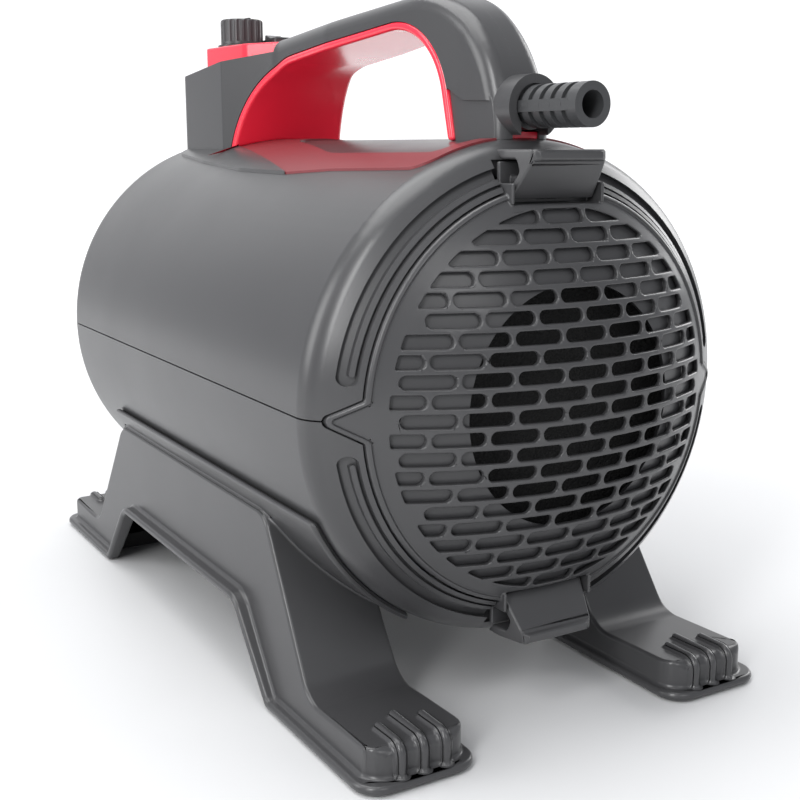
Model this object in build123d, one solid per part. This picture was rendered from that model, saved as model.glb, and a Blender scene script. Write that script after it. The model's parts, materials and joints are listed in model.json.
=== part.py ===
from build123d import *
import math
import os

# Pet dryer: a horizontal drum blower on two side skids, with a loop handle, control pod and intake cover.
# The drum axis runs along Y, the intake faces -Y, the outlet faces +Y and +Z is up.
# Pieces are drawn in the drum's frame (axis on Z = 0, intake bezel ring at Y = 0) and
# then moved so that the origin is the centre of the footprint, on the floor.

# ---- driving dimensions, millimetres ----
drum_radius = 110.0
shell_wall = 3.0
axis_height = 144.6            # drum axis above the floor
drum_back = 330.0              # flat rear face of the drum
front_corner_radius = 15.0
back_corner_radius = 16.0
dome_radius = 160.0            # sphere that the intake face lies on
dome_apex = -43.0              # foremost point of the dome, on the axis
dome_centre = dome_apex + dome_radius
seam_gap = 0.7

cover_radius = 90.8            # intake cover outside the notches
cover_gap = 0.9
cover_wall = 2.6
ear_tip = 104.6                # pointed ears of the cover at both sides
ear_half = 10.4
slot_pitch_z = 7.88
slot_height = 5.6
slot_pitch_x = 22.7
slot_length = 20.9
slot_field_radius = 82.3
filter_opening = 52.0

groove_radius = 97.3
groove_width = 7.4
groove_depth = 2.4
rib_radius = 95.7
rib_width = 1.8

latch_pivot_y = -15.0
latch_pivot_z = 92.5
latch_pin_radius = 1.5
latch_bore_radius = 1.55
tab_top = 105.5
tab_thickness = 4.0
tab_reach = -27.0
tab_root_half = 23.0
tab_end_half = 18.5

handle_rear = 5.0              # rear face of the handle's rear leg
pod_back = 316.0
pod_half = 37.0
grip_half = 24.0
leg_half = 15.0
liner_wall = 4.0
handle_wall = 3.2
crown_radius = 8.0
gland_height = 123.0
cap_half = 25.0
cap_back = 305.0
cap_front = 205.0
cap_top = 165.6

knob_x = -8.5
knob_y = 284.0
knob_radius = 12.7
knob_base = 167.0
knob_height = 14.6
rocker_x = 11.5
rocker_y = 276.0
rocker_tilt = 8.0

skid_centre = 165.0
skid_outer = 103.6
skid_inner = 56.0
skid_wall = 3.0
flange_outer = 108.8
flange_inner = 53.0
foot_reach = 211.5             # from the skid's centre to the end of a foot flange
pad_drop = 0.8                 # rubber pads stand this far below the flanges

nozzle_end = 386.0
spigot_radius = 24.0
spigot_bore = 21.0

floor_z = -axis_height
outlet_opening = 46.0
front_wall_y = 112.0           # bulkhead that holds the motor's front mount
rear_wall_y = 268.0            # bulkhead that holds the motor's rear cushion
mount_outer = 74.0
seam_screw_x = 100.5
seam_screw_y = (40.0, 165.0, 290.0)
seam_boss_radius = 5.0
screw_core = 1.9               # thread-forming screws fill their pilot holes
skid_screw_spots = [(x, y) for x in (-74.0, 74.0) for y in (105.0, 225.0)]
handle_screw_spots = [(-9.0, 26.0), (9.0, 26.0), (-29.0, 296.0), (29.0, 296.0)]

nozzle_screw_offset = 38.9
board_top = 84.0
board_screw_spots = [(x, y) for x in (-30.0, 30.0) for y in (40.0, 90.0)]
shaft_radius = 4.0
bearing_bore = 4.05
bearing_radius = 11.0
front_bearing_y = 166.0
rear_bearing_y = 250.0
impeller_radius = 54.0
armature_radius = 22.0
commutator_radius = 12.0
commutator_y = 239.0
can_radius = 62.0
saddle_thickness = 3.5

overall_front = skid_centre - foot_reach
overall_shift = Pos(0, -(overall_front + nozzle_end) / 2, axis_height)


# ---- small helpers ----
def along_y(radius, y_from, y_to, x=0.0, z=0.0):
    """A cylinder whose axis is parallel to Y."""
    solid = Cylinder(radius, y_to - y_from, align=(Align.CENTER, Align.CENTER, Align.MIN))
    return Pos(x, y_from, z) * Rot(-90, 0, 0) * solid


def along_x(radius, x_from, x_to, y, z):
    """A cylinder whose axis is parallel to X."""
    solid = Cylinder(radius, x_to - x_from, align=(Align.CENTER, Align.CENTER, Align.MIN))
    return Pos(x_from, y, z) * Rot(0, 90, 0) * solid


def along_z(radius, z_from, z_to, x=0.0, y=0.0):
    """A cylinder whose axis is parallel to Z."""
    solid = Cylinder(radius, z_to - z_from, align=(Align.CENTER, Align.CENTER, Align.MIN))
    return Pos(x, y, z_from) * solid


def block(x_from, x_to, y_from, y_to, z_from, z_to):
    """A box given by its limits."""
    size = Box(x_to - x_from, y_to - y_from, z_to - z_from, align=(Align.MIN, Align.MIN, Align.MIN))
    return Pos(x_from, y_from, z_from) * size


def rectangle(x_from, x_to, y_from, y_to):
    """A flat rectangle given by its limits."""
    return Pos(x_from, y_from) * Rectangle(x_to - x_from, y_to - y_from, align=(Align.MIN, Align.MIN))


def tube(outer, inner, y_from, y_to, x=0.0, z=0.0):
    """A ring or pipe along Y."""
    return along_y(outer, y_from, y_to, x, z) - along_y(inner, y_from - 1, y_to + 1, x, z)


def turned(*points):
    """A solid of revolution about the drum axis from (radius, y) points."""
    profile = make_face(Polyline(*points, close=True))
    return revolve(profile, axis=Axis.Y, revolution_arc=360)


def dome(radius):
    """A ball on the centre of the intake dome."""
    return Pos(0, dome_centre, 0) * Sphere(radius)


def prism_y(face, y_from, y_to):
    """Extrude a face drawn in X and Z along Y."""
    placed = Plane((0, y_to, 0), x_dir=(1, 0, 0), z_dir=(0, -1, 0)) * face
    return extrude(placed, y_to - y_from)


def prism_x(face, half):
    """Extrude a face drawn in Y and Z to both sides of X = 0."""
    placed = Plane((-half, 0, 0), x_dir=(0, 1, 0), z_dir=(1, 0, 0)) * face
    return extrude(placed, 2 * half)


def prism_z(face, z_from, z_to):
    """Extrude a face drawn in X and Y along Z."""
    return extrude(Pos(0, 0, z_from) * face, z_to - z_from)


def mirrored(solid):
    """The same piece on the other side of X = 0."""
    return mirror(solid, about=Plane.YZ)


def upside_down(solid):
    """The same piece turned half round the drum axis."""
    return Rot(0, 180, 0) * solid


def side(solid, sign):
    """The part of a solid on one side of X = 0."""
    limit = 600
    if sign < 0:
        return solid & block(-limit, 0, -limit, limit, -limit, limit)
    return solid & block(0, limit, -limit, limit, -limit, limit)


# ---- drum shells ----
def drum_body(inset):
    """The drum's outer form, or its hollow when inset by the wall."""
    radius = drum_radius - inset
    back = drum_back - inset
    front_half = Pos(0, dome_centre) * Circle(dome_radius - inset) & rectangle(0, radius, -60, dome_centre)
    profile = front_half + rectangle(0, radius, dome_centre, back)
    shoulder = profile.vertices().filter_by_position(Axis.X, radius - 0.01, radius + 0.01).sort_by(Axis.Y)
    profile = fillet(shoulder[-1], back_corner_radius - inset)
    shoulder = profile.vertices().filter_by_position(Axis.X, radius - 0.01, radius + 0.01).sort_by(Axis.Y)
    profile = fillet(shoulder[0], front_corner_radius - inset)
    return revolve(profile, axis=Axis.Y, revolution_arc=360)


def dome_skin(outer_depth, inner_depth):
    """The layer of the intake dome between two depths below its surface."""
    return dome(dome_radius - outer_depth) - dome(dome_radius - inner_depth)


def ear_outline(grow):
    """Outline of one pointed ear at +X, grown by an even margin."""
    half = ear_half + 0.9 * grow
    neck = cover_radius - 3.4
    outline = FilletPolyline((70, half + 8), (neck, half), (ear_tip + 2.0 + 1.35 * grow, 0),
                             (neck, -half), (70, -half - 8), radius=3.2, close=True)
    return make_face(outline)


def cover_outline(grow):
    """Round cover with an ear at each side, drawn in X and Z."""
    ear = ear_outline(grow)
    return Circle(cover_radius + grow) + ear + mirror(ear, about=Plane.YZ)


def arc_slot(radius, width, start, sweep):
    """A curved slot with round ends, drawn in X and Z."""
    reach = 200
    middle = math.radians(start + sweep / 2)
    half = math.radians(sweep / 2)
    corners = [(0, 0)]
    for angle in (middle - half, middle, middle + half):
        corners.append((reach * math.cos(angle), reach * math.sin(angle)))
    ring = Circle(radius + width / 2) - Circle(radius - width / 2)
    slot = ring & make_face(Polyline(*corners, close=True))
    for angle in (middle - half, middle + half):
        slot = slot + Pos(radius * math.cos(angle), radius * math.sin(angle)) * Circle(width / 2)
    return slot


def bezel_seat():
    """Thick backing behind the bezel, with the collar and flange that the cover rests on."""
    backing = dome_skin(shell_wall - 0.4, 6) & tube(103, cover_radius + cover_gap, -60, 20)
    collar = turned((cover_radius + cover_gap, -8.5), (94.5, -8.5), (94.5, -0.5), (86, -0.5), (86, -3),
                    (cover_radius + cover_gap, -3))
    return backing + collar


def latch_notch():
    """Cut-out in the top of the bezel for one latch and its hook."""
    mouth = block(-24.8, 24.8, -60, -3.05, 86, 101.3)
    hook_path = block(-8, 8, -60, 5, 90, 101.3)
    return mouth + hook_path


def drum_shell():
    """The whole drum casing before it is split at the seam."""
    shell = drum_body(0) - drum_body(shell_wall) + bezel_seat()
    shell = shell - along_y(cover_radius + cover_gap, -60, -3)
    shell = shell - along_y(86, -60, 5)
    notch = prism_y(cover_outline(cover_gap), -60, 10) - dome(dome_radius - cover_wall - 0.5)
    shell = shell - notch
    for start in (10.5, 100.3, 190.5, 280.3):
        channel = prism_y(arc_slot(groove_radius, groove_width, start, 69.2), -60, 15)
        shell = shell - (channel - dome(dome_radius - groove_depth))
        rib = prism_y(arc_slot(rib_radius, rib_width, start + 0.8, 67.6), -60, 15)
        shell = shell + (rib & dome_skin(0.6, groove_depth + 0.3))
    shell = shell - latch_notch() - upside_down(latch_notch())
    shell = shell - along_y(outlet_opening, drum_back - 8, drum_back + 5)
    return shell


def seam_bosses(z_from, z_to):
    """Screw bosses along both sides of the seam."""
    bosses = []
    for x in (-seam_screw_x, seam_screw_x):
        for y in seam_screw_y:
            column = along_z(seam_boss_radius, z_from, z_to, x, y)
            web = block(min(x, x * 1.09), max(x, x * 1.09), y - 2.5, y + 2.5, z_from, z_to)
            bosses.append((column + web) & along_y(drum_radius - 1.5, 0, 320))
    return bosses


def bulkhead(y_from, y_to, opening):
    """An inner ring wall that carries a motor mount."""
    return tube(drum_radius - 2, opening, y_from, y_to)


def nozzle_bosses(half, sign):
    """Bosses behind the drum's rear wall for the outlet nozzle's screws."""
    for x in (-nozzle_screw_offset, nozzle_screw_offset):
        z = sign * nozzle_screw_offset
        half = half + along_y(4.5, 316, drum_back - 2, x, z)
        half = half - along_y(screw_core, 318, drum_back + 1, x, z)
    return half


def upper_shell(shell):
    upper = shell & block(-200, 200, -100, 400, seam_gap / 2, 200)
    tongue_room = tube(drum_radius - 1.3, drum_radius - 4, 12, 312) & block(-200, 200, 0, 330, -1, 3.6)
    walls = bulkhead(front_wall_y, front_wall_y + 3, mount_outer) + bulkhead(rear_wall_y, rear_wall_y + 3, 40)
    upper = upper + (walls & block(-200, 200, 0, 330, seam_gap / 2, 200)) - tongue_room
    for boss in seam_bosses(seam_gap / 2, 15):
        upper = upper + boss
    for x in (-seam_screw_x, seam_screw_x):
        for y in seam_screw_y:
            upper = upper - along_z(screw_core, -1, 11.5, x, y)
    upper = upper - block(-24, 24, 262, 302, 90, 120)
    upper = upper - block(-6, 6, 12, 30, 90, 120)
    for x, y in handle_screw_spots:
        upper = upper - along_z(2.2, 90, 120, x, y)
    for x, y in board_screw_spots:
        upper = upper + (along_z(3.5, board_top, 110, x, y) & along_y(drum_radius - 1.5, 0, 320))
        upper = upper - along_z(1.2, board_top - 1, board_top + 7, x, y)
    return nozzle_bosses(upper, 1)


def lower_shell(shell):
    lower = shell & block(-200, 200, -100, 400, -200, -seam_gap / 2)
    tongue = tube(drum_radius - 1.6, drum_radius - shell_wall, 14, 310)
    lower = lower + (tongue & block(-200, 200, 0, 330, -2, 3.1))
    for x in (-seam_screw_x, seam_screw_x):
        for y in seam_screw_y:
            lower = lower - block(x - 8, x + 8, y - 5, y + 5, -seam_gap / 2, 4)
    walls = bulkhead(front_wall_y, front_wall_y + 3, mount_outer) + bulkhead(rear_wall_y, rear_wall_y + 3, 40)
    lower = lower + (walls & block(-200, 200, 0, 330, -200, -seam_gap / 2))
    for boss in seam_bosses(-15, -seam_gap / 2):
        lower = lower + boss
    for x in (-seam_screw_x, seam_screw_x):
        for y in seam_screw_y:
            lower = lower - along_z(2.2, -20, 5, x, y) - along_z(3.7, -20, -11, x, y)
    for x, y in skid_screw_spots:
        top = -math.sqrt((drum_radius - 2) ** 2 - x * x)
        lower = lower + (along_z(4.5, top - 3, top + 13, x, y) & along_y(drum_radius - 1.5, 0, 320))
        lower = lower - along_z(screw_core, top - 12, top + 10, x, y)
    return nozzle_bosses(lower, -1)


def seam_screws():
    screws = []
    for x in (-seam_screw_x, seam_screw_x):
        for y in seam_screw_y:
            shank = along_z(screw_core, -11, 10.5, x, y)
            screws.append(shank + along_z(3.5, -13.6, -11, x, y) - along_z(1.4, -13.7, -12.3, x, y))
    return Compound(children=screws)


# ---- intake cover ----
def slot_rows():
    """Centres of the staggered rows of slots that lie at least partly inside the slotted field."""
    slots = []
    rows = int(slot_field_radius // slot_pitch_z)
    for row in range(-rows, rows + 1):
        z = row * slot_pitch_z
        reach = math.sqrt(slot_field_radius ** 2 - z * z)
        offset = 0 if row % 2 == 0 else slot_pitch_x / 2
        for column in range(-5, 6):
            x = column * slot_pitch_x + offset
            if abs(x) - slot_length / 2 < reach - 7.0:
                slots.append((x, z))
    return slots


def slot_field():
    """All the slots as one flat sketch, cut off at the rim of the field."""
    field = Sketch()
    for x, z in slot_rows():
        field += Pos(x, z) * RectangleRounded(slot_length, slot_height, slot_height / 2 - 0.05)
    return field & Circle(slot_field_radius)


def cover_bead():
    """Raised bead along the cover's rim and ears."""
    outline = cover_outline(0)
    band = outline - offset(outline, -2.0)
    return prism_y(band, -60, 12) & dome_skin(-0.7, 1)


def latch_pocket():
    """Back plate, cheeks and pin lugs that carry one latch at the top of the cover."""
    plate = block(-24, 24, -9.5, -7.3, 80, 100.6) - block(-6.6, 6.6, -10, -7, 93.5, 101)
    pocket = plate
    for x in (-24, 22.5):
        pocket += block(x, x + 1.5, -19, -9.5, 83.4, 92)
    pocket += block(-24, 24, -19.5, -9.5, 81.8, 83.4) & dome(dome_radius - 0.3)
    for x in (-18.4, 14.6):
        lug = block(x, x + 3.8, latch_pivot_y, -9.5, latch_pivot_z - 2.4, latch_pivot_z + 2.4)
        pocket += lug + along_x(2.4, x, x + 3.8, latch_pivot_y, latch_pivot_z)
    return pocket - along_x(latch_pin_radius, -20, 20, latch_pivot_y, latch_pivot_z)


def intake_cover():
    """Domed cover with staggered slots, a rim bead, ears and two latch pockets."""
    outline = cover_outline(0)
    cover = prism_y(outline, -60, 12) & dome_skin(0, cover_wall)
    cover += tube(cover_radius, cover_radius - 2.4, -60, -3.2) & dome(dome_radius - 1)
    cover += cover_bead()
    cover -= prism_y(slot_field(), -60, 0)
    recess = block(-24, 24, -60, -9.5, 83.4, 120)
    rear_recess = block(-24, 24, -60, 0, 86, 120)
    for turn in (0, 180):
        cover -= Rot(0, turn, 0) * (recess + rear_recess)
    for turn in (0, 180):
        cover += Rot(0, turn, 0) * latch_pocket()
    return cover


def filter_retainer():
    """Domed inner plate with a round opening, clipped inside the cover."""
    skin = dome_skin(cover_wall + 0.2, cover_wall + 2.0)
    plate = skin & along_y(cover_radius - 2.6, -60, 10)
    plate -= along_y(filter_opening, -60, 10)
    relief = block(-25, 25, -60, 0, 81.6, 120)
    return plate - relief - upside_down(relief)


def filter_foam():
    """Flat disc of open-cell foam behind the retainer."""
    disc = along_y(cover_radius - 2.4, -10.4, -3.6)
    relief = block(-25, 25, -60, 0, 79.5, 120)
    return disc - relief - upside_down(relief)


def latch_profile():
    """Side view of a latch: flat tab on top, sloping plate below with a hollow curve between them."""
    outline = FilletPolyline((-3, tab_top), (tab_reach, tab_top), (tab_reach, tab_top - tab_thickness), (-25.4, 100.6),
                             (-14.1, 85.4), (-12.0, 85.4), (-12.0, 88.4), (-18.2, 96.6), (-16.5, tab_top - tab_thickness),
                             (-7.6, tab_top - tab_thickness), (-4.0, tab_top),
                             radius=[0, 1.6, 1.2, 0, 0.8, 0, 0, 2.0, 0, 0, 0], close=True)
    return make_face(outline)


def latch_front():
    """Front view limits of a latch, narrower towards the tab's tip in plan."""
    tab_face = FilletPolyline((-tab_root_half, -3), (-tab_root_half, -9), (-tab_end_half, tab_reach),
                              (tab_end_half, tab_reach), (tab_root_half, -9), (tab_root_half, -3),
                              radius=[0, 6, 4.5, 4.5, 6, 0], close=True)
    return prism_z(make_face(tab_face), 80, 110)


def latch():
    """Rocking latch: finger tab, sloping front plate, pivot barrel and hook."""
    body = prism_x(latch_profile(), 22.3) & latch_front()
    barrel = along_x(3.1, -13.9, 13.9, latch_pivot_y, latch_pivot_z)
    arm = block(-5.5, 5.5, latch_pivot_y - 2, 2.9, latch_pivot_z + 2.3, 97.4)
    tooth = block(-5.5, 5.5, 0.9, 2.9, 92.2, 96)
    for x in (-18.9, 14.1):
        body -= block(x, x + 4.8, latch_pivot_y, 0, latch_pivot_z - 2.95, latch_pivot_z + 2.95)
        body -= along_x(2.95, x, x + 4.8, latch_pivot_y, latch_pivot_z)
    body = body + barrel + arm + tooth
    return body - along_x(latch_bore_radius, -20, 20, latch_pivot_y, latch_pivot_z)


def latch_pin():
    return along_x(latch_pin_radius, -18.4, 18.4, latch_pivot_y, latch_pivot_z)


def latch_spring():
    """Bent leaf spring between the pocket and the latch's lower edge."""
    half_width = 5
    outline = Polyline((-9.6, 85), (-9.6, 90), (-10.1, 90), (-10.1, 86.3), (-11.4, 88.0), (-11.8, 87.7), (-10.2, 85),
                       close=True)
    return prism_x(make_face(outline), half_width)


def keeper():
    """Spring-steel clip behind the bezel flange that the latch hook snaps over."""
    return block(-5, 5, -0.5, 0.3, 86.4, 94.4)


# ---- handle and control pod ----
def handle_plan(inset):
    """Top view of the handle: wide at the pod, narrow at the rear leg."""
    pod = pod_half - inset
    grip = grip_half - inset
    leg = leg_half - inset
    right = [(leg, handle_rear + inset), (leg, 34), (grip, 145), (grip, 203), (pod, 250), (pod, pod_back - inset)]
    left = [(-x, y) for x, y in reversed(right)]
    radii = [0, 60, 80, 30, 6, 10]
    outline = FilletPolyline(*(right + left), radius=radii + radii[::-1], close=True)
    return make_face(outline)


def handle_side(inset):
    """Side view of the handle's outer form, in Y and Z."""
    rear = handle_rear + inset
    back = pod_back - inset
    line = FilletPolyline((rear, 90), (rear, 180.3 - inset), (cap_front, 164.3 - inset), radius=66 - inset)
    rest = Polyline((cap_front, 164.3 - inset), (cap_front, 157.6 - inset), (252, 154.4 - inset),
                    (back, 148 - inset), (back, 90), (rear, 90))
    return make_face([line, rest])


def hand_opening(inset):
    """Side view of the loop's opening; inset shrinks it."""
    outline = FilletPolyline((247.5 - inset, 90), (231 - inset, 150.5 - inset), (51.6 + inset, 166.5 - inset),
                             (34 + inset, 90), radius=[0, 68 - inset, 42 - inset, 0], close=True)
    return make_face(outline)


def crown_edge(edge):
    """True for the long edges along both sides of the crown, from the rear leg's foot to the cap."""
    middle = edge.center()
    ends = [vertex.Y for vertex in edge.vertices()]
    along = max(ends) - min(ends) > 1 or max(ends) < handle_rear + 0.1
    return along and abs(middle.X) > 8 and middle.Z > 95 and max(ends) < cap_front + 0.1


def handle_block():
    """Outer form of the handle without its opening, with the crown's long edges rounded."""
    body = prism_x(handle_side(0), 60) & prism_z(handle_plan(0), 85, 190)
    crown = [edge for edge in body.edges() if crown_edge(edge)]
    return fillet(crown, crown_radius)


def gland_collar():
    """Round boss at the rear of the handle around the cord gland."""
    return along_y(13.6, handle_rear - 6, handle_rear + 12, 0, gland_height)


def pod_flange():
    """Thin saddle that spreads the pod's foot over the drum."""
    outline = FilletPolyline((43, 306), (51.5, 246), (57.5, 180), (58.5, 122), (45, 180), (30, 246), (30, 306),
                             radius=[8, 60, 60, 0, 40, 0, 0], close=True)
    face = make_face(outline)
    skin = along_y(drum_radius + 1.6, 0, 330) - along_y(drum_radius, -1, 331)
    return (prism_z(face + mirror(face, about=Plane.YZ), 60, 120)) & skin


def handle_hollow():
    """Hollow inside both handle shells."""
    hollow = prism_x(handle_side(handle_wall), 60) & prism_z(handle_plan(handle_wall), 85, 190)
    return hollow - prism_x(hand_opening(-handle_wall), 60)


def handle_shells():
    """Both grey handle shells as one form, before they are split at X = 0."""
    body = handle_block()
    body = body + gland_collar()
    body = body - prism_x(hand_opening(0), 60)
    body = body - handle_hollow()
    for x, y in handle_screw_spots:
        body = body + (along_z(4.2, 100, 122, x, y) & handle_block())
        body = body - along_z(screw_core, 100, 119, x, y)
    body = body - along_y(drum_radius, -20, 340)
    body = body - along_y(9.6, handle_rear - 10, handle_rear + 9, 0, gland_height)
    body = body - block(-7, 7, handle_rear - 10, handle_rear + 12, 100, 117.5)
    body = body - leg_recess() - handle_liner()
    body = body - (prism_z(cap_plan(3), 140, 175) & block(-60, 60, 236, 320, 140, 175))
    return body


def leg_recess():
    """Shallow flat panels on both sides of the rear leg's lower half."""
    panel = Polyline((-5, 85), (-5, 125), (32, 126.5), (43, 132), (60, 110), (60, 85), close=True)
    return prism_x(make_face(panel), 60) - block(-14.0, 14.0, -20, 80, 80, 140)


def pod_skirt():
    """Thin saddle on both sides of the pod's foot, fixed to the handle shells."""
    legs = handle_block() - prism_x(hand_opening(liner_wall), 60)
    return pod_flange() - legs - handle_liner()


def handle_spacer():
    """Red core block that closes the gap between the shells under the gland."""
    return block(-7, 7, handle_rear + 1.2, handle_rear + 12, 100, 112.8) - along_y(drum_radius, -20, 340)


def handle_liner():
    """Red band that lines the hand opening."""
    ring = prism_x(hand_opening(0) - hand_opening(liner_wall), 60) & prism_z(handle_plan(-0.3), 85, 190)
    return ring - along_y(drum_radius, -20, 340)


def saddle_trim():
    """Floor of the hand opening: a curved skin over the drum, open in the middle."""
    outer = FilletPolyline((51.5, 8), (54.5, 82), (58.2, 122), (44.5, 180), (29.5, 246), (-29.5, 246), (-44.5, 180),
                           (-58.2, 122), (-54.5, 82), (-51.5, 8),
                           radius=[10, 80, 12, 60, 0, 0, 60, 12, 80, 10], close=True)
    window = FilletPolyline((38, 18), (40, 110), (16, 196), (-16, 196), (-40, 110), (-38, 18),
                            radius=[6, 60, 15, 15, 60, 6], close=True)
    face = make_face(outer) - make_face(window)
    skin = along_y(drum_radius + 1.0, 0, 330) - along_y(drum_radius, -1, 331)
    trim = prism_z(face, 60, 120) & skin
    legs = handle_block() - prism_x(hand_opening(liner_wall), 60)
    return trim - legs - pod_flange()


def cap_plan(inset):
    """Top view of the control cap."""
    half = cap_half - inset
    right = [(10 - inset, cap_front + inset), (half, 244), (half, cap_back - inset)]
    left = [(-x, y) for x, y in reversed(right)]
    outline = FilletPolyline(*(right + left), radius=[2, 20, 6, 6, 20, 2], close=True)
    return make_face(outline)


def cap_side(inset):
    """Side view of the control cap."""
    outline = Polyline((cap_back, 149.3 - inset), (cap_back, cap_top - inset), (cap_front, 164.0 - inset),
                       (cap_front, 157.6 - inset), (252, 154.4 - inset), close=True)
    return make_face(outline)


def control_cap():
    """Red wedge cap that carries the speed knob and the switch."""
    cap = prism_x(cap_side(0), 60) & prism_z(cap_plan(0), 140, 180)
    cap -= prism_x(cap_side(2.5), 60) & prism_z(cap_plan(4.7), 140, 180)
    skirt = prism_z(cap_plan(3.1), 145, 157) - prism_z(cap_plan(4.7), 140, 160)
    cap += skirt & block(-60, 60, 240, 310, 145, 157)
    cap -= along_z(3.6, 150, 175, knob_x, knob_y)
    cap -= block(rocker_x - 6.4, rocker_x + 6.4, rocker_y - 9.6, rocker_y + 9.6, 150, 175)
    return cap


def dial_plate():
    """Thin round plate under the knob with raised position marks."""
    plate = along_z(knob_radius + 1.8, cap_top - 0.2, knob_base - 0.4, knob_x, knob_y)
    plate -= prism_x(cap_side(0), 60)
    plate -= block(rocker_x - 6.9, rocker_x + 6.9, rocker_y - 12, rocker_y + 12, 160, 175)
    return plate - along_z(3.6, 150, 175, knob_x, knob_y)


def speed_knob():
    """Fluted control knob with a pointer rib and a D-shaped socket."""
    knob = along_z(knob_radius, knob_base, knob_base + knob_height, knob_x, knob_y)
    top = knob.edges().filter_by(GeomType.CIRCLE).sort_by(Axis.Z)[-1]
    knob = fillet(top, 1.6)
    flutes = 18
    for index in range(flutes):
        angle = 2 * math.pi * index / flutes
        reach = knob_radius + 0.9
        flute = along_z(1.9, knob_base + 1.6, knob_base + knob_height + 1, knob_x + reach * math.cos(angle),
                        knob_y + reach * math.sin(angle))
        knob -= flute
    pointer = block(knob_x - 0.9, knob_x + 0.9, knob_y - knob_radius + 1.2, knob_y - 3,
                    knob_base + knob_height - 0.4, knob_base + knob_height + 0.5)
    return knob + pointer - along_z(3.0, knob_base - 1, knob_base + 9, knob_x, knob_y)


def pot_shaft():
    """Rotating shaft of the speed control."""
    return along_z(3.0, 152.0, knob_base + 9, knob_x, knob_y) + along_z(5.5, 150.6, 152.0, knob_x, knob_y)


def pot_body():
    """Speed control potentiometer with its threaded bush."""
    can = along_z(8.2, 145, 156.5, knob_x, knob_y) - along_z(6.0, 149.8, 152.8, knob_x, knob_y)
    bush = along_z(3.55, 156.5, knob_base - 0.6, knob_x, knob_y)
    terminals = block(knob_x - 6, knob_x + 6, knob_y - 13, knob_y - 7, 146, 147)
    return can + bush + terminals - along_z(3.05, 149.9, 175, knob_x, knob_y)


def switch_frame():
    """Bezel and body of the rocker switch."""
    rim = block(rocker_x - 6.9, rocker_x + 6.9, rocker_y - 11, rocker_y + 11, 163, cap_top + 4.6)
    rim = fillet(rim.edges().filter_by(Axis.Z), 1.5)
    rim -= prism_x(cap_side(0), 60)
    body = block(rocker_x - 6.3, rocker_x + 6.3, rocker_y - 9.5, rocker_y + 9.5, 148, cap_top + 3.6)
    body = body + rim
    body -= block(rocker_x - 5.6, rocker_x + 5.6, rocker_y - 8.8, rocker_y + 8.8, 155.5, 175)
    for y in (-5, 0, 5):
        body += block(rocker_x - 2.4, rocker_x + 2.4, rocker_y + y - 0.4, rocker_y + y + 0.4, 141, 148)
    return body


def switch_rocker():
    """Rocker button, tipped towards its off side."""
    half_length = 7.7
    rocker_pivot_z = cap_top + 1.6
    lower = Polyline((-half_length, -1.6), (-half_length, 5.4), (0, 4.2), (half_length, 5.4), (half_length, -1.6),
                     (0, -6.0), close=True)
    face = Pos(rocker_y, rocker_pivot_z) * Rot(0, 0, rocker_tilt) * make_face(lower)
    button = prism_x(face, 5.3)
    return Pos(rocker_x, 0, 0) * button


# ---- cord gland ----
def cord_gland():
    """Ribbed strain-relief sleeve with a side spine and a plain end ring."""
    start = -38.5
    sleeve = along_y(7.4, start, handle_rear - 1, 0, gland_height)
    for index in range(4):
        y = start + 9.2 + index * 7.3
        sleeve += along_y(9.0, y, y + 4.2, 0, gland_height)
    sleeve += along_y(9.0, start, start + 6.2, 0, gland_height)
    for x in (-8.9, 6.6):
        sleeve += block(x, x + 2.3, start + 5, handle_rear - 2, gland_height - 2.4, gland_height + 2.4)
    sleeve += along_y(9.5, handle_rear - 3, handle_rear + 12.5, 0, gland_height)
    return sleeve - along_y(5.5, start - 5, handle_rear + 30, 0, gland_height)


def gland_nut():
    """Hexagonal nut that holds the sleeve inside the handle."""
    nut = prism_y(RegularPolygon(11.4, 6), handle_rear + 8.4, handle_rear + 11.9)
    return Pos(0, 0, gland_height) * nut - along_y(9.5, 0, 30, 0, gland_height)


def handle_screws():
    """Screws driven up from inside the drum into the handle shells."""
    screws = []
    for x, y in handle_screw_spots:
        seat = math.sqrt((drum_radius - shell_wall) ** 2 - x * x) - 1.8
        shank = along_z(screw_core, seat, 117, x, y)
        screws.append(shank + along_z(3.6, seat - 2.4, seat, x, y) - along_z(1.5, seat - 2.5, seat - 1.2, x, y))
    return Compound(children=screws)


# ---- side skids ----
def skid_arch(grow):
    """Side view of the arch between a skid's feet, grown evenly."""
    foot = 47 - 1.374 * grow
    crown = 84 - 0.432 * grow
    top = floor_z + 40.1 + grow
    far = 2 * skid_centre
    outline = FilletPolyline((foot, floor_z - 1), (crown, top), (far - crown, top), (far - foot, floor_z - 1),
                             radius=[0, 12 + grow, 12 + grow, 0], close=True)
    return make_face(outline)


def skid_side(inset):
    """Side view of a skid's outer form without its arch."""
    far = 2 * skid_centre
    toe = -41.3 + inset
    base = floor_z + pad_drop
    near = [(toe, base), (toe, floor_z + 18.2 - inset), (14.6 + 0.5 * inset, floor_z + 16.6 - inset),
            (63 + 0.6 * inset, -56.5 - inset)]
    outline = near + [(far - y, z) for y, z in reversed(near)]
    radii = [0, 5, 17, 14, 14, 17, 5, 0]
    if inset > 0:
        outline[0] = (toe, floor_z - 5)
        outline[-1] = (far - toe, floor_z - 5)
        radii = [0, 2, 17 + inset, 10, 10, 17 + inset, 2, 0]
    return make_face(FilletPolyline(*outline, radius=radii, close=True))


def skid_section(inset):
    """End view of a skid: upright inside, drafted outside."""
    low = floor_z - 5
    return make_face(Polyline((skid_inner + inset, low), (skid_outer + 0.5 - inset, low), (100.2 - inset, -50),
                              (skid_inner + inset, -50), close=True))


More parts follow.
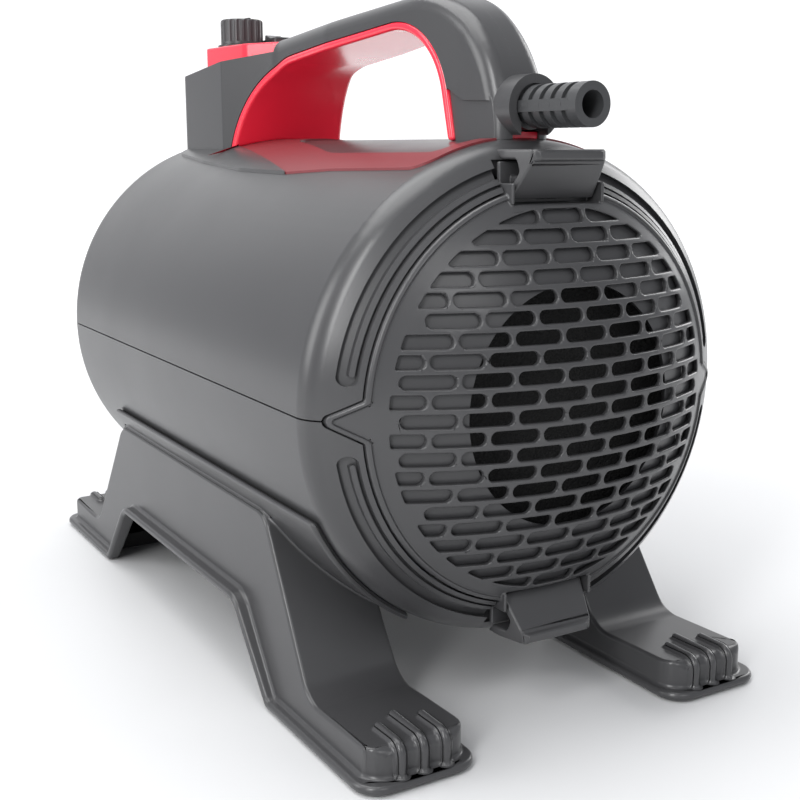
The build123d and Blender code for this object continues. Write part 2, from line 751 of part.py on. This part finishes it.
def skid_plan(inset):
    """Top view of a skid with rounded toes."""
    width = skid_outer + 0.5 - skid_inner - 2 * inset
    length = 2 * (skid_centre + 41.3 - inset)
    middle = (skid_outer + 0.5 + skid_inner) / 2
    return Pos(middle, skid_centre) * RectangleRounded(width, length, 11 - inset)


def skid_hollow():
    """Channel inside a skid, open underneath."""
    hollow = prism_x(skid_side(skid_wall), 120) & prism_y(skid_section(skid_wall), -60, 400)
    hollow = hollow & prism_z(skid_plan(skid_wall), -160, -40)
    return hollow - along_y(drum_radius + saddle_thickness, -60, 400)


def skid_lip():
    """Outline flange that follows the feet and the arch and stands proud on both sides."""
    far = 2 * skid_centre
    low = floor_z + pad_drop
    band = rectangle(skid_centre - foot_reach, skid_centre + foot_reach, low, low + 4.2)
    band = band + (skid_arch(4.2) & rectangle(0, far, low, 0)) - skid_arch(0)
    plan = Pos((flange_inner + flange_outer) / 2, skid_centre)
    plan = plan * RectangleRounded(flange_outer - flange_inner, 2 * foot_reach, 12)
    return prism_x(band, 120) & prism_z(plan, floor_z - 5, 0)


def toe_ribs():
    """Three grip ribs over each toe of a skid."""
    ribs = []
    for x, start in ((69.0, -22.0), (79.5, -16.0), (90.0, -22.0)):
        outline = FilletPolyline((-44.2, floor_z + 2), (-44.2, floor_z + 20.4), (start, floor_z + 20.4),
                                 (start, floor_z + 14), (-36, floor_z + 14), (-36, floor_z + 2),
                                 radius=[0, 7, 1.5, 0, 0, 0], close=True)
        rib = prism_x(make_face(outline), 2.0)
        ribs.append(Pos(x, 0, 0) * rib)
        ribs.append(Pos(x, 2 * skid_centre, 0) * Rot(0, 0, 180) * rib)
    return ribs


def skid():
    """One side skid: two feet, sloping legs, a beam and a saddle under the drum."""
    body = prism_x(skid_side(0), 120) & prism_y(skid_section(0), -60, 400) & prism_z(skid_plan(0), -150, -40)
    saddle = along_y(drum_radius + saddle_thickness, 8, 268) & block(skid_inner, 104, 0, 330, -110, -46)
    body = body + saddle + skid_lip()
    for rib in toe_ribs():
        body = body + rib
    body = body - skid_hollow() - prism_x(skid_arch(0), 120)
    spots = [spot for spot in skid_screw_spots if spot[0] > 0]
    for x, y in spots:
        body = body + along_z(6, -94.2, -76, x, y)
    body = body - along_y(drum_radius, -60, 400)
    for x, y in spots:
        body = body - along_z(2.2, -110, -60, x, y)
    return body


def foot_pad(y_from, y_to):
    """Rubber insert in the open underside of a foot."""
    return skid_hollow() & block(50, 110, y_from, y_to, floor_z, floor_z + 9)


def skid_screws():
    screws = []
    for x, y in skid_screw_spots:
        shank = along_z(screw_core, -94.2, -69.4, x, y)
        screws.append(shank + along_z(3.6, -96.8, -94.2, x, y) - along_z(1.5, -96.9, -95.4, x, y))
    return Compound(children=screws)


# ---- outlet ----
def outlet_nozzle():
    """Cone and spigot that the hose pushes onto."""
    nozzle = turned((outlet_opening, drum_back), (60, drum_back), (60, drum_back + 3.2), (50.6, drum_back + 3.2), (49.5, drum_back + 4.4),
                  (spigot_radius + 3.2, 352), (spigot_radius, 354.5), (spigot_radius, nozzle_end),
                  (spigot_bore, nozzle_end), (spigot_bore, 353), (outlet_opening, drum_back + 3.4))
    for x in (-nozzle_screw_offset, nozzle_screw_offset):
        for z in (-nozzle_screw_offset, nozzle_screw_offset):
            nozzle -= along_y(2.2, drum_back - 1, drum_back + 3.3, x, z)
    return nozzle


def outlet_guard():
    """Finger guard inside the nozzle: a ring, a hub and six vanes."""
    guard = tube(outlet_opening, outlet_opening - 2.5, drum_back + 0.4, drum_back + 3.2)
    guard += along_y(7, drum_back + 0.4, drum_back + 3.2)
    guard += tube(26, 24, drum_back + 0.4, drum_back + 3.2)
    for index in range(6):
        vane = block(5, outlet_opening - 1, drum_back + 0.4, drum_back + 3.2, -0.8, 0.8)
        guard += Rot(0, 60 * index, 0) * vane
    return guard


def nozzle_screws():
    screws = []
    seat = drum_back + 3.2
    for x in (-nozzle_screw_offset, nozzle_screw_offset):
        for z in (-nozzle_screw_offset, nozzle_screw_offset):
            shank = along_y(screw_core, 318.5, seat, x, z)
            screws.append(shank + along_y(3.6, seat, seat + 2.4, x, z) - along_y(1.5, seat + 1, seat + 3, x, z))
    return Compound(children=screws)


# ---- motor and fan ----
def fan_housing():
    """Pressed can round both fan stages, with an inlet eye and outlet ports."""
    can = turned((20, 106), (58, 106), (can_radius, 110), (can_radius, 160), (can_radius - 1.2, 160),
                 (can_radius - 1.2, 110.5), (57.5, 107.2), (20, 107.2))
    return can


def motor_mount_front():
    """Rubber ring between the fan housing and the front bulkhead."""
    return turned((can_radius, 111), (77, 111), (77, front_wall_y), (mount_outer, front_wall_y),
                  (mount_outer, front_wall_y + 3), (77, front_wall_y + 3), (77, 117), (72, 120), (can_radius, 120))


def stage_plate():
    """Fixed return plate between the two impellers."""
    plate = tube(can_radius - 1.2, 14, 128, 129.2)
    for index in range(9):
        vane = block(18, 56, 129.2, 135, -0.6, 0.6)
        plate += Rot(0, 40 * index, 0) * Pos(0, 0, 6) * vane
    return plate


def motor_front_bracket():
    """Cast bracket that closes the fan can and holds the front bearing."""
    bracket = turned((bearing_radius + 3, 158), (can_radius - 1.2, 158), (can_radius - 1.2, 160), (can_radius, 160),
                     (can_radius, 162.5), (bearing_radius + 3, 162.5))
    bracket += tube(bearing_radius + 3, bearing_radius, 158, front_bearing_y + 4)
    bracket += tube(46, 43, 162.5, 178)
    for index in range(8):
        port = along_y(6, 150, 170, 30, 0)
        bracket -= Rot(0, 45 * index + 22.5, 0) * port
    for index in range(8):
        window = block(38, 50, 166, 175, -9, 9)
        bracket -= Rot(0, 45 * index, 0) * window
    return bracket


def stator():
    """Two-pole laminated stack."""
    stack = along_y(46, 178, 222) & block(-46, 46, 170, 230, -38, 38)
    stack -= along_y(armature_radius + 0.5, 170, 230)
    for x in (-1, 1):
        for z in (-1, 1):
            stack -= block(min(x * 14, x * 27), max(x * 14, x * 27), 170, 230, min(z * 21, z * 31), max(z * 21, z * 31))
    return stack


def field_coils():
    """Two field windings round the poles."""
    coils = []
    for z in (-1, 1):
        low = 23.5 if z > 0 else -29.5
        loop = block(-25, 25, 170.5, 229.5, low, low + 6) - block(-14.2, 14.2, 177.9, 222.1, low - 1, low + 7)
        loop -= along_y(armature_radius + 2.2, 160, 240)
        coils.append(loop - stator())
    return Compound(children=[solid for coil in coils for solid in coil.solids()])


def motor_rear_bracket():
    """Spider behind the stator that holds the rear bearing."""
    bracket = tube(46, 42, 222, 226) & block(-46, 46, 220, 230, -38, 38)
    bracket += tube(bearing_radius + 3, bearing_radius, rear_bearing_y - 4, rear_bearing_y + 4)
    bracket += along_y(bearing_radius + 3, rear_bearing_y + 4, 264) - along_y(5.5, 240, 262)
    for angle in (20, 160, 200, 340):
        leg = block(32, 44, 222, 250, -3.5, 3.5) + block(12, 44, 246.5, 250, -3.5, 3.5)
        bracket += Rot(0, angle, 0) * leg
    return bracket - along_y(bearing_radius, rear_bearing_y - 6, rear_bearing_y + 4)


def motor_cushion_rear():
    """Rubber cushion between the motor's tail and the rear bulkhead."""
    cushion = tube(40, bearing_radius + 3, 258, 274) + tube(43, 40, 262, rear_wall_y)
    for index in range(6):
        cushion -= Rot(0, 60 * index, 0) * along_y(6.5, 250, 280, 27, 0)
    return cushion


def bearings():
    """Front and rear ball bearings."""
    races = []
    for centre in (front_bearing_y, rear_bearing_y):
        ring = tube(bearing_radius, bearing_bore, centre - 3.5, centre + 3.5)
        for y in (centre - 3.6, centre + 3.1):
            ring -= tube(9.2, 5.8, y, y + 0.5)
        races.append(ring)
    return Compound(children=races)


def brush_holders():
    """Two brass brush boxes beside the commutator, with their moulded arms."""
    holders = []
    for turn in (0, 180):
        box = block(13.5, 36, commutator_y - 5, commutator_y + 5, -4.5, 4.5)
        box -= block(13, 34.5, commutator_y - 3, commutator_y + 3, -2.5, 2.5)
        arm = block(33, 44, 226, commutator_y + 5, -4.5, 4.5) - block(32, 34.5, 220, commutator_y + 3, -2.5, 2.5)
        holders.append(Rot(0, turn, 0) * (box + arm))
    return Compound(children=holders)


def carbon_brushes():
    """Carbon blocks that bear on the commutator."""
    blocks = []
    for turn in (0, 180):
        carbon = block(10, 30, commutator_y - 3, commutator_y + 3, -2.5, 2.5)
        carbon -= along_y(commutator_radius + 0.06, 220, 260)
        blocks.append(Rot(0, turn, 0) * carbon)
    return Compound(children=blocks)


def rotor_shaft():
    """Turned shaft with a thread relief for the impeller nut."""
    return along_y(shaft_radius, 108.5, 257) - tube(shaft_radius + 1, shaft_radius - 0.4, 126, 127)


def armature():
    """Skewed-slot armature core with its end windings."""
    core = along_y(armature_radius, 180, 220)
    for index in range(12):
        slot = block(18.5, 23, 179, 221, -1.1, 1.1)
        core -= Rot(0, 30 * index, 0) * slot
    core += along_y(18, 174, 180) + along_y(18, 220, 228)
    return core - along_y(shaft_radius, 100, 260)


def commutator():
    """Copper commutator with insulation gaps."""
    drum = along_y(commutator_radius, 231, 245)
    for index in range(24):
        gap = block(10.6, 13, 230, 246, -0.2, 0.2)
        drum -= Rot(0, 15 * index, 0) * gap
    return drum - along_y(shaft_radius, 100, 260)


def impeller(y_from, eye):
    """Backward-curved fan wheel: back plate, shroud, hub and seven blades."""
    wheel = along_y(impeller_radius, y_from + 10.8, y_from + 12)
    wheel += tube(impeller_radius, eye, y_from, y_from + 1.2)
    wheel += along_y(9, y_from + 4, y_from + 12)
    for index in range(7):
        blade = Circle(40) - Circle(38.8)
        blade = Pos(12, -38) * blade
        face = blade & (Circle(impeller_radius - 0.5) - Circle(19)) & rectangle(0, 60, -60, 60)
        solid = prism_y(face, y_from + 1.0, y_from + 11.0)
        wheel += Rot(0, index * 360 / 7, 0) * solid
    return wheel - along_y(shaft_radius, 100, 260)


def impeller_nut():
    """Nut and washer in front of the first impeller."""
    nut = prism_y(RegularPolygon(7.0, 6), 110.5, 115.0) + along_y(9, 115.0, 116.0)
    return nut - along_y(shaft_radius, 100, 130)


# ---- electrics ----
def control_board():
    """Circuit board under the roof of the front chamber."""
    board = block(-36, 36, 34, 96, board_top - 1.6, board_top)
    for x, y in board_screw_spots:
        board -= along_z(1.7, board_top - 3, board_top + 1, x, y)
    return board


def board_screws():
    screws = []
    for x, y in board_screw_spots:
        shank = along_z(1.2, board_top - 1.6, board_top + 6.5, x, y)
        screws.append(shank + along_z(2.6, board_top - 3.4, board_top - 1.6, x, y))
    return Compound(children=screws)


def heatsink():
    """Finned heatsink under the board."""
    sink = block(-22, 4, 50, 82, board_top - 5.6, board_top - 1.6)
    for index in range(7):
        x = -22 + index * 4.1
        sink += block(x, x + 1.4, 50, 82, board_top - 16, board_top - 5)
    return sink


def filter_capacitor():
    """Interference capacitor with rounded edges."""
    can = block(10, 24, 54, 80, board_top - 14, board_top - 1.6)
    return fillet(can.edges().filter_by(Axis.Z), 1.5)


def acoustic_foam():
    """Sound-absorbing pads round the walls of the rear chamber."""
    ring = tube(drum_radius - shell_wall, 94, 272, 310)
    low = ring & block(-200, 200, 260, 320, -200, -20)
    sides = ring & block(-200, 200, 260, 320, 20, 62)
    return Compound(children=low.solids() + sides.solids())


# ---- all the nodes ----
def build_parts():
    shell = drum_shell()
    handle = handle_shells()
    right_skid = skid()
    front_pad = foot_pad(-38.3, 30)
    rear_pad = foot_pad(300, 368.3)
    return {
        "upper_shell": upper_shell(shell),
        "lower_shell": lower_shell(shell),
        "seam_screws": seam_screws(),
        "right_skid": right_skid,
        "left_skid": mirrored(right_skid),
        "foot_pad_front_right": front_pad,
        "foot_pad_front_left": mirrored(front_pad),
        "foot_pad_rear_right": rear_pad,
        "foot_pad_rear_left": mirrored(rear_pad),
        "skid_screws": skid_screws(),
        "handle_shell_right": side(handle, 1),
        "handle_shell_left": side(handle, -1),
        "handle_liner": handle_liner(),
        "pod_skirt": pod_skirt(),
        "handle_spacer": handle_spacer(),
        "handle_screws": handle_screws(),
        "saddle_trim": saddle_trim(),
        "control_cap": control_cap(),
        "dial_plate": dial_plate(),
        "speed_knob": speed_knob(),
        "pot_shaft": pot_shaft(),
        "pot_body": pot_body(),
        "switch_frame": switch_frame(),
        "switch_rocker": switch_rocker(),
        "cord_gland": cord_gland(),
        "gland_nut": gland_nut(),
        "intake_cover": intake_cover(),
        "filter_retainer": filter_retainer(),
        "filter_foam": filter_foam(),
        "latch_upper": latch(),
        "latch_lower": upside_down(latch()),
        "latch_pins": Compound(children=[latch_pin(), upside_down(latch_pin())]),
        "latch_spring_upper": latch_spring(),
        "latch_spring_lower": upside_down(latch_spring()),
        "keepers": Compound(children=[keeper(), upside_down(keeper())]),
        "outlet_nozzle": outlet_nozzle(),
        "outlet_guard": outlet_guard(),
        "nozzle_screws": nozzle_screws(),
        "fan_housing": fan_housing(),
        "motor_mount_front": motor_mount_front(),
        "stage_plate": stage_plate(),
        "motor_front_bracket": motor_front_bracket(),
        "stator": stator(),
        "field_coils": field_coils(),
        "motor_rear_bracket": motor_rear_bracket(),
        "motor_cushion_rear": motor_cushion_rear(),
        "bearings": bearings(),
        "brush_holders": brush_holders(),
        "carbon_brushes": carbon_brushes(),
        "rotor_shaft": rotor_shaft(),
        "armature": armature(),
        "commutator": commutator(),
        "impeller_front": impeller(116.0, 22),
        "impeller_rear": impeller(140.0, 22),
        "impeller_nut": impeller_nut(),
        "control_board": control_board(),
        "board_screws": board_screws(),
        "heatsink": heatsink(),
        "filter_capacitor": filter_capacitor(),
        "acoustic_foam": acoustic_foam(),
    }


if __name__ == "__main__":
    os.makedirs("parts", exist_ok=True)
    for node, shape in build_parts().items():
        export_step(overall_shift * shape, "parts/" + node + ".step")
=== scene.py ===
import json
import math
import bpy
import bmesh
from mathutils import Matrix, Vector


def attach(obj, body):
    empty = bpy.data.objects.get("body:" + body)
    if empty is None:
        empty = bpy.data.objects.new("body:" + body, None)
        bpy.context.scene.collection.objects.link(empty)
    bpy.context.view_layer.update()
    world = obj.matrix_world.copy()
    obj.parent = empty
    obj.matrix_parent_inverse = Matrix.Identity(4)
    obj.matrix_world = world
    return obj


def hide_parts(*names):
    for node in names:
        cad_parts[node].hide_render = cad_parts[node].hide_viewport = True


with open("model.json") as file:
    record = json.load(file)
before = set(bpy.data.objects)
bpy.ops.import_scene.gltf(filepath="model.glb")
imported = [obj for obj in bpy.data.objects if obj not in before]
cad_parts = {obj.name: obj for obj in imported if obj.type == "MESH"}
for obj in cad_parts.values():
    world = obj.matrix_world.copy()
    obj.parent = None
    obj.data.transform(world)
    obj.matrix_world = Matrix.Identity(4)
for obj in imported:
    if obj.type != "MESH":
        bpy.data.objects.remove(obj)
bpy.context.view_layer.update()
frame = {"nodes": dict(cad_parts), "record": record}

record = frame["record"]
slot_of = {part["node"]: part["material_slot"] for part in record["subparts"]}
body_of_node = {node: body for body, nodes in record["behaviour"]["bodies"].items() for node in nodes}

# ---- looks, in metres ----
edge_radius = {
    "right_skid": 0.0019, "left_skid": 0.0019,
    "latch_upper": 0.0010, "latch_lower": 0.0010,
    "intake_cover": 0.0008,
    "upper_shell": 0.0007, "lower_shell": 0.0007,
    "handle_shell_right": 0.0008, "handle_shell_left": 0.0008,
    "handle_liner": 0.0018, "control_cap": 0.0010,
    "cord_gland": 0.0009, "speed_knob": 0.0006,
    "switch_frame": 0.0006, "switch_rocker": 0.0007,
    "saddle_trim": 0.0006, "outlet_nozzle": 0.0007, "outlet_guard": 0.0004,
    "dial_plate": 0.0002, "filter_retainer": 0.0003, "handle_spacer": 0.0003,
}
open_width = {"right_skid", "left_skid", "latch_upper", "latch_lower", "handle_liner", "control_cap", "intake_cover"}
bevel_steps = 3
sharp_angle = math.radians(32)      # edges flatter than this stay as they are
weld_distance = 0.000004
flat_angle = math.radians(1.0)

camera_place = (-0.31376, -0.58670, 0.25105)
camera_turn = (78.06, 0.0, -30.76)  # degrees
camera_lens = 53.87                 # millimetres, on a 36 mm sensor
sensor_width = 36.0

# ---- studio sizes, in metres ----
sweep_bend = 0.8
sweep_start = 2.2
sweep_top = 3.2
sweep_half_width = 3.5
sweep_front = -3.0
sweep_steps = 12
glow_from, glow_to, glow_strength = 0.2, 1.5, 0.62
world_color = (0.93, 0.95, 1.0, 1)
world_strength = 0.48


# ---- materials ----
def link_bump(tree, shader, height_output, distance, strength):
    """Feed a height value into a shader's normal."""
    bump = tree.nodes.new("ShaderNodeBump")
    bump.inputs["Distance"].default_value = distance
    bump.inputs["Strength"].default_value = strength
    tree.links.new(height_output, bump.inputs["Height"])
    tree.links.new(bump.outputs["Normal"], shader.inputs["Normal"])


def noise_node(tree, coords, scale, detail=4.0):
    """A noise texture read at the given coordinates."""
    noise = tree.nodes.new("ShaderNodeTexNoise")
    noise.inputs["Scale"].default_value = scale
    noise.inputs["Detail"].default_value = detail
    tree.links.new(coords, noise.inputs["Vector"])
    return noise


def remap(tree, value_output, low, high):
    """Map a 0..1 value onto a range."""
    node = tree.nodes.new("ShaderNodeMapRange")
    node.inputs["To Min"].default_value = low
    node.inputs["To Max"].default_value = high
    tree.links.new(value_output, node.inputs["Value"])
    return node.outputs["Result"]


def make_material(name, color, roughness, metallic=0.0, grain=1600.0, grain_depth=0.00002, coat=0.0,
                  mottling=0.06, kind="grain"):
    """A surface with fine relief, slight colour drift and uneven gloss."""
    material = bpy.data.materials.new(name)
    material.use_nodes = True
    tree = material.node_tree
    shader = tree.nodes["Principled BSDF"]
    shader.inputs["Metallic"].default_value = metallic
    shader.inputs["Coat Weight"].default_value = coat
    shader.inputs["Coat Roughness"].default_value = 0.12
    coords = tree.nodes.new("ShaderNodeTexCoord").outputs["Object"]
    broad = noise_node(tree, coords, 22.0)
    fine = noise_node(tree, coords, grain, 3.0)
    ramp = tree.nodes.new("ShaderNodeMixRGB")
    dark = [channel * (1 - mottling) for channel in color]
    light = [min(1.0, channel * (1 + mottling)) for channel in color]
    ramp.inputs["Color1"].default_value = (*dark, 1)
    ramp.inputs["Color2"].default_value = (*light, 1)
    tree.links.new(broad.outputs["Fac"], ramp.inputs["Fac"])
    tree.links.new(ramp.outputs["Color"], shader.inputs["Base Color"])
    gloss = remap(tree, broad.outputs["Fac"], max(0.03, roughness - 0.05), roughness + 0.05)
    tree.links.new(gloss, shader.inputs["Roughness"])
    if kind == "brushed":
        stretch = tree.nodes.new("ShaderNodeMapping")
        stretch.inputs["Scale"].default_value = (1.0, 60.0, 60.0)
        tree.links.new(coords, stretch.inputs["Vector"])
        tree.links.new(stretch.outputs["Vector"], fine.inputs["Vector"])
        fine.inputs["Scale"].default_value = 40.0
    if kind == "foam":
        cells = tree.nodes.new("ShaderNodeTexVoronoi")
        cells.inputs["Scale"].default_value = grain
        tree.links.new(coords, cells.inputs["Vector"])
        link_bump(tree, shader, cells.outputs["Distance"], grain_depth, 1.0)
    else:
        link_bump(tree, shader, fine.outputs["Fac"], grain_depth, 0.6)
    return material


materials = {
    "casing_plastic": make_material("casing_satin", (0.047, 0.047, 0.049), 0.30, grain=1500, grain_depth=0.000022,
                                    mottling=0.03),
    "inner_plastic": make_material("inner_black", (0.040, 0.040, 0.042), 0.36, grain=1200),
    "black_plastic": make_material("black_gloss", (0.045, 0.045, 0.047), 0.30, grain=1800, grain_depth=0.00001),
    "red_plastic": make_material("red_gloss", (0.86, 0.022, 0.052), 0.22, grain=900, grain_depth=0.000008, coat=0.35,
                                 mottling=0.03),
    # maroon_plastic is the red liner colour darkened into painted shade: the liner floor is the same red part, and
    # its darker tone is shadow
    "maroon_plastic": make_material("red_satin_painted_shade", (0.17, 0.022, 0.028), 0.40, grain=1300),
    "yellow_plastic": make_material("yellow_case", (0.72, 0.46, 0.04), 0.4),
    "foot_rubber": make_material("foot_rubber", (0.022, 0.022, 0.022), 0.75, grain=1000, grain_depth=0.00006),
    "black_rubber": make_material("sleeve_rubber", (0.042, 0.043, 0.045), 0.36, grain=1100, grain_depth=0.00003),
    "filter_foam": make_material("open_foam", (0.006, 0.006, 0.006), 0.95, grain=700, grain_depth=0.0006,
                                 kind="foam"),
    "screw_steel": make_material("zinc_screw", (0.42, 0.42, 0.43), 0.32, metallic=1.0, kind="brushed"),
    "steel": make_material("plain_steel", (0.5, 0.5, 0.51), 0.34, metallic=1.0, kind="brushed"),
    "spring_steel": make_material("spring_steel", (0.55, 0.55, 0.56), 0.24, metallic=1.0, kind="brushed"),
    "lamination": make_material("laminations", (0.10, 0.10, 0.11), 0.5, metallic=0.8, kind="brushed"),
    "aluminium": make_material("cast_aluminium", (0.66, 0.66, 0.68), 0.42, metallic=1.0, grain=900,
                               grain_depth=0.00005),
    "copper": make_material("copper", (0.70, 0.30, 0.15), 0.3, metallic=1.0, kind="brushed"),
    "brass": make_material("brass", (0.74, 0.55, 0.24), 0.3, metallic=1.0, kind="brushed"),
    "carbon": make_material("carbon", (0.03, 0.03, 0.03), 0.6),
    "board_laminate": make_material("board_green", (0.03, 0.16, 0.06), 0.35),
}


def paint(obj, node):
    """Give an object the material of a node's slot."""
    obj.data.materials.clear()
    obj.data.materials.append(materials[slot_of[node]])


# ---- finished pieces ----
def merged_copy(node):
    """A copy of a CAD node's mesh with its split vertices joined and its flat areas made whole."""
    source = frame["nodes"][node]
    mesh = source.data.copy()
    work = bmesh.new()
    work.from_mesh(mesh)
    bmesh.ops.remove_doubles(work, verts=work.verts, dist=weld_distance)
    bmesh.ops.dissolve_limit(work, angle_limit=flat_angle, use_dissolve_boundaries=False,
                             verts=work.verts, edges=work.edges, delimit={"NORMAL"})
    work.to_mesh(mesh)
    work.free()
    obj = bpy.data.objects.new(node + "_finish", mesh)
    bpy.context.collection.objects.link(obj)
    obj.matrix_world = source.matrix_world
    return obj


def soften(node, width):
    """A finished copy of a node with rounded edges and smooth shading."""
    obj = merged_copy(node)
    bevel = obj.modifiers.new("rounded_edges", "BEVEL")
    bevel.width = width
    bevel.segments = bevel_steps
    bevel.limit_method = "ANGLE"
    bevel.angle_limit = sharp_angle
    bevel.use_clamp_overlap = node not in open_width
    bevel.harden_normals = False
    bevel.miter_outer = "MITER_ARC"
    for polygon in obj.data.polygons:
        polygon.use_smooth = True
    normals = obj.modifiers.new("even_normals", "WEIGHTED_NORMAL")
    normals.keep_sharp = True
    normals.weight = 60
    paint(obj, node)
    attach(obj, body_of_node[node])
    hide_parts(node)


for node, width in edge_radius.items():
    soften(node, width)

for node, obj in frame["nodes"].items():
    paint(obj, node)


# ---- studio ----
def sweep_profile():
    """Side view of the sweep as (distance behind the machine, height)."""
    profile = [(sweep_front, 0.0), (sweep_start, 0.0)]
    for step in range(1, sweep_steps + 1):
        angle = math.radians(90 * step / sweep_steps)
        profile.append((sweep_start + sweep_bend * math.sin(angle), sweep_bend - sweep_bend * math.cos(angle)))
    profile.append((sweep_start + sweep_bend, sweep_top))
    return profile


def sweep_material():
    """Pale floor paint that glows more with distance, so the backdrop has no horizon."""
    material = make_material("pale_floor", (0.60, 0.603, 0.608), 0.5, grain=300, grain_depth=0.00001, mottling=0.008)
    tree = material.node_tree
    shader = tree.nodes["Principled BSDF"]
    shader.inputs["Emission Color"].default_value = (1.0, 1.0, 1.0, 1)
    place = tree.nodes.new("ShaderNodeTexCoord").outputs["Object"]
    reach = tree.nodes.new("ShaderNodeVectorMath")
    reach.operation = "LENGTH"
    tree.links.new(place, reach.inputs[0])
    glow = tree.nodes.new("ShaderNodeMapRange")
    glow.inputs["From Min"].default_value = glow_from
    glow.inputs["From Max"].default_value = glow_to
    glow.inputs["To Min"].default_value = 0.0
    glow.inputs["To Max"].default_value = glow_strength
    tree.links.new(reach.outputs["Value"], glow.inputs["Value"])
    tree.links.new(glow.outputs["Result"], shader.inputs["Emission Strength"])
    return material


def studio_floor():
    """A pale sweep, square to the camera: floor, curve and back wall."""
    profile = sweep_profile()
    turn = math.radians(camera_turn[2])
    along = Vector((-math.sin(turn), math.cos(turn), 0))
    across = Vector((math.cos(turn), math.sin(turn), 0))
    vertices = []
    for side in (-sweep_half_width, sweep_half_width):
        for reach, height in profile:
            vertices.append(along * reach + across * side + Vector((0, 0, height)))
    count = len(profile)
    faces = [(i, i + 1, count + i + 1, count + i) for i in range(count - 1)]
    mesh = bpy.data.meshes.new("sweep")
    mesh.from_pydata(vertices, [], faces)
    for polygon in mesh.polygons:
        polygon.use_smooth = True
    sweep = bpy.data.objects.new("sweep", mesh)
    bpy.context.collection.objects.link(sweep)
    mesh.materials.append(sweep_material())


def area_light(name, place, target, size, size_y, power):
    """A rectangular softbox in metres and watts, aimed at a point."""
    light = bpy.data.lights.new(name, "AREA")
    light.shape = "RECTANGLE"
    light.size = size
    light.size_y = size_y
    light.energy = power
    obj = bpy.data.objects.new(name, light)
    bpy.context.collection.objects.link(obj)
    obj.location = place
    direction = Vector(target) - Vector(place)
    obj.rotation_euler = direction.to_track_quat("-Z", "Y").to_euler()


def studio_world():
    """Even pale light from all round."""
    world = bpy.data.worlds.new("studio_world")
    bpy.context.scene.world = world
    world.use_nodes = True
    world.node_tree.nodes["Background"].inputs["Color"].default_value = world_color
    world.node_tree.nodes["Background"].inputs["Strength"].default_value = world_strength
    bpy.context.scene.view_settings.view_transform = "Standard"


def add_camera():
    """The camera that matches the picture."""
    data = bpy.data.cameras.new("camera")
    data.lens = camera_lens
    data.sensor_width = sensor_width
    data.dof.use_dof = False
    data.clip_start = 0.01
    camera = bpy.data.objects.new("camera", data)
    bpy.context.collection.objects.link(camera)
    camera.location = camera_place
    camera.rotation_euler = [math.radians(angle) for angle in camera_turn]
    bpy.context.scene.camera = camera


studio_floor()
area_light("top_softbox", (-0.25, 0.25, 1.6), (0, 0, 0.15), 1.3, 1.3, 22)
area_light("left_softbox", (-1.7, 0.55, 0.85), (0, 0, 0.12), 0.8, 1.1, 14)
area_light("edge_softbox", (-1.20, -0.87, 1.00), (-0.1, -0.16, 0.2), 0.26, 1.2, 17)
area_light("right_softbox", (1.6, 0.2, 0.9), (0, 0, 0.15), 0.5, 1.2, 10)
area_light("front_softbox", (-0.15, -1.7, 1.15), (0, -0.1, 0.16), 0.7, 0.6, 5)

studio_world()
add_camera()
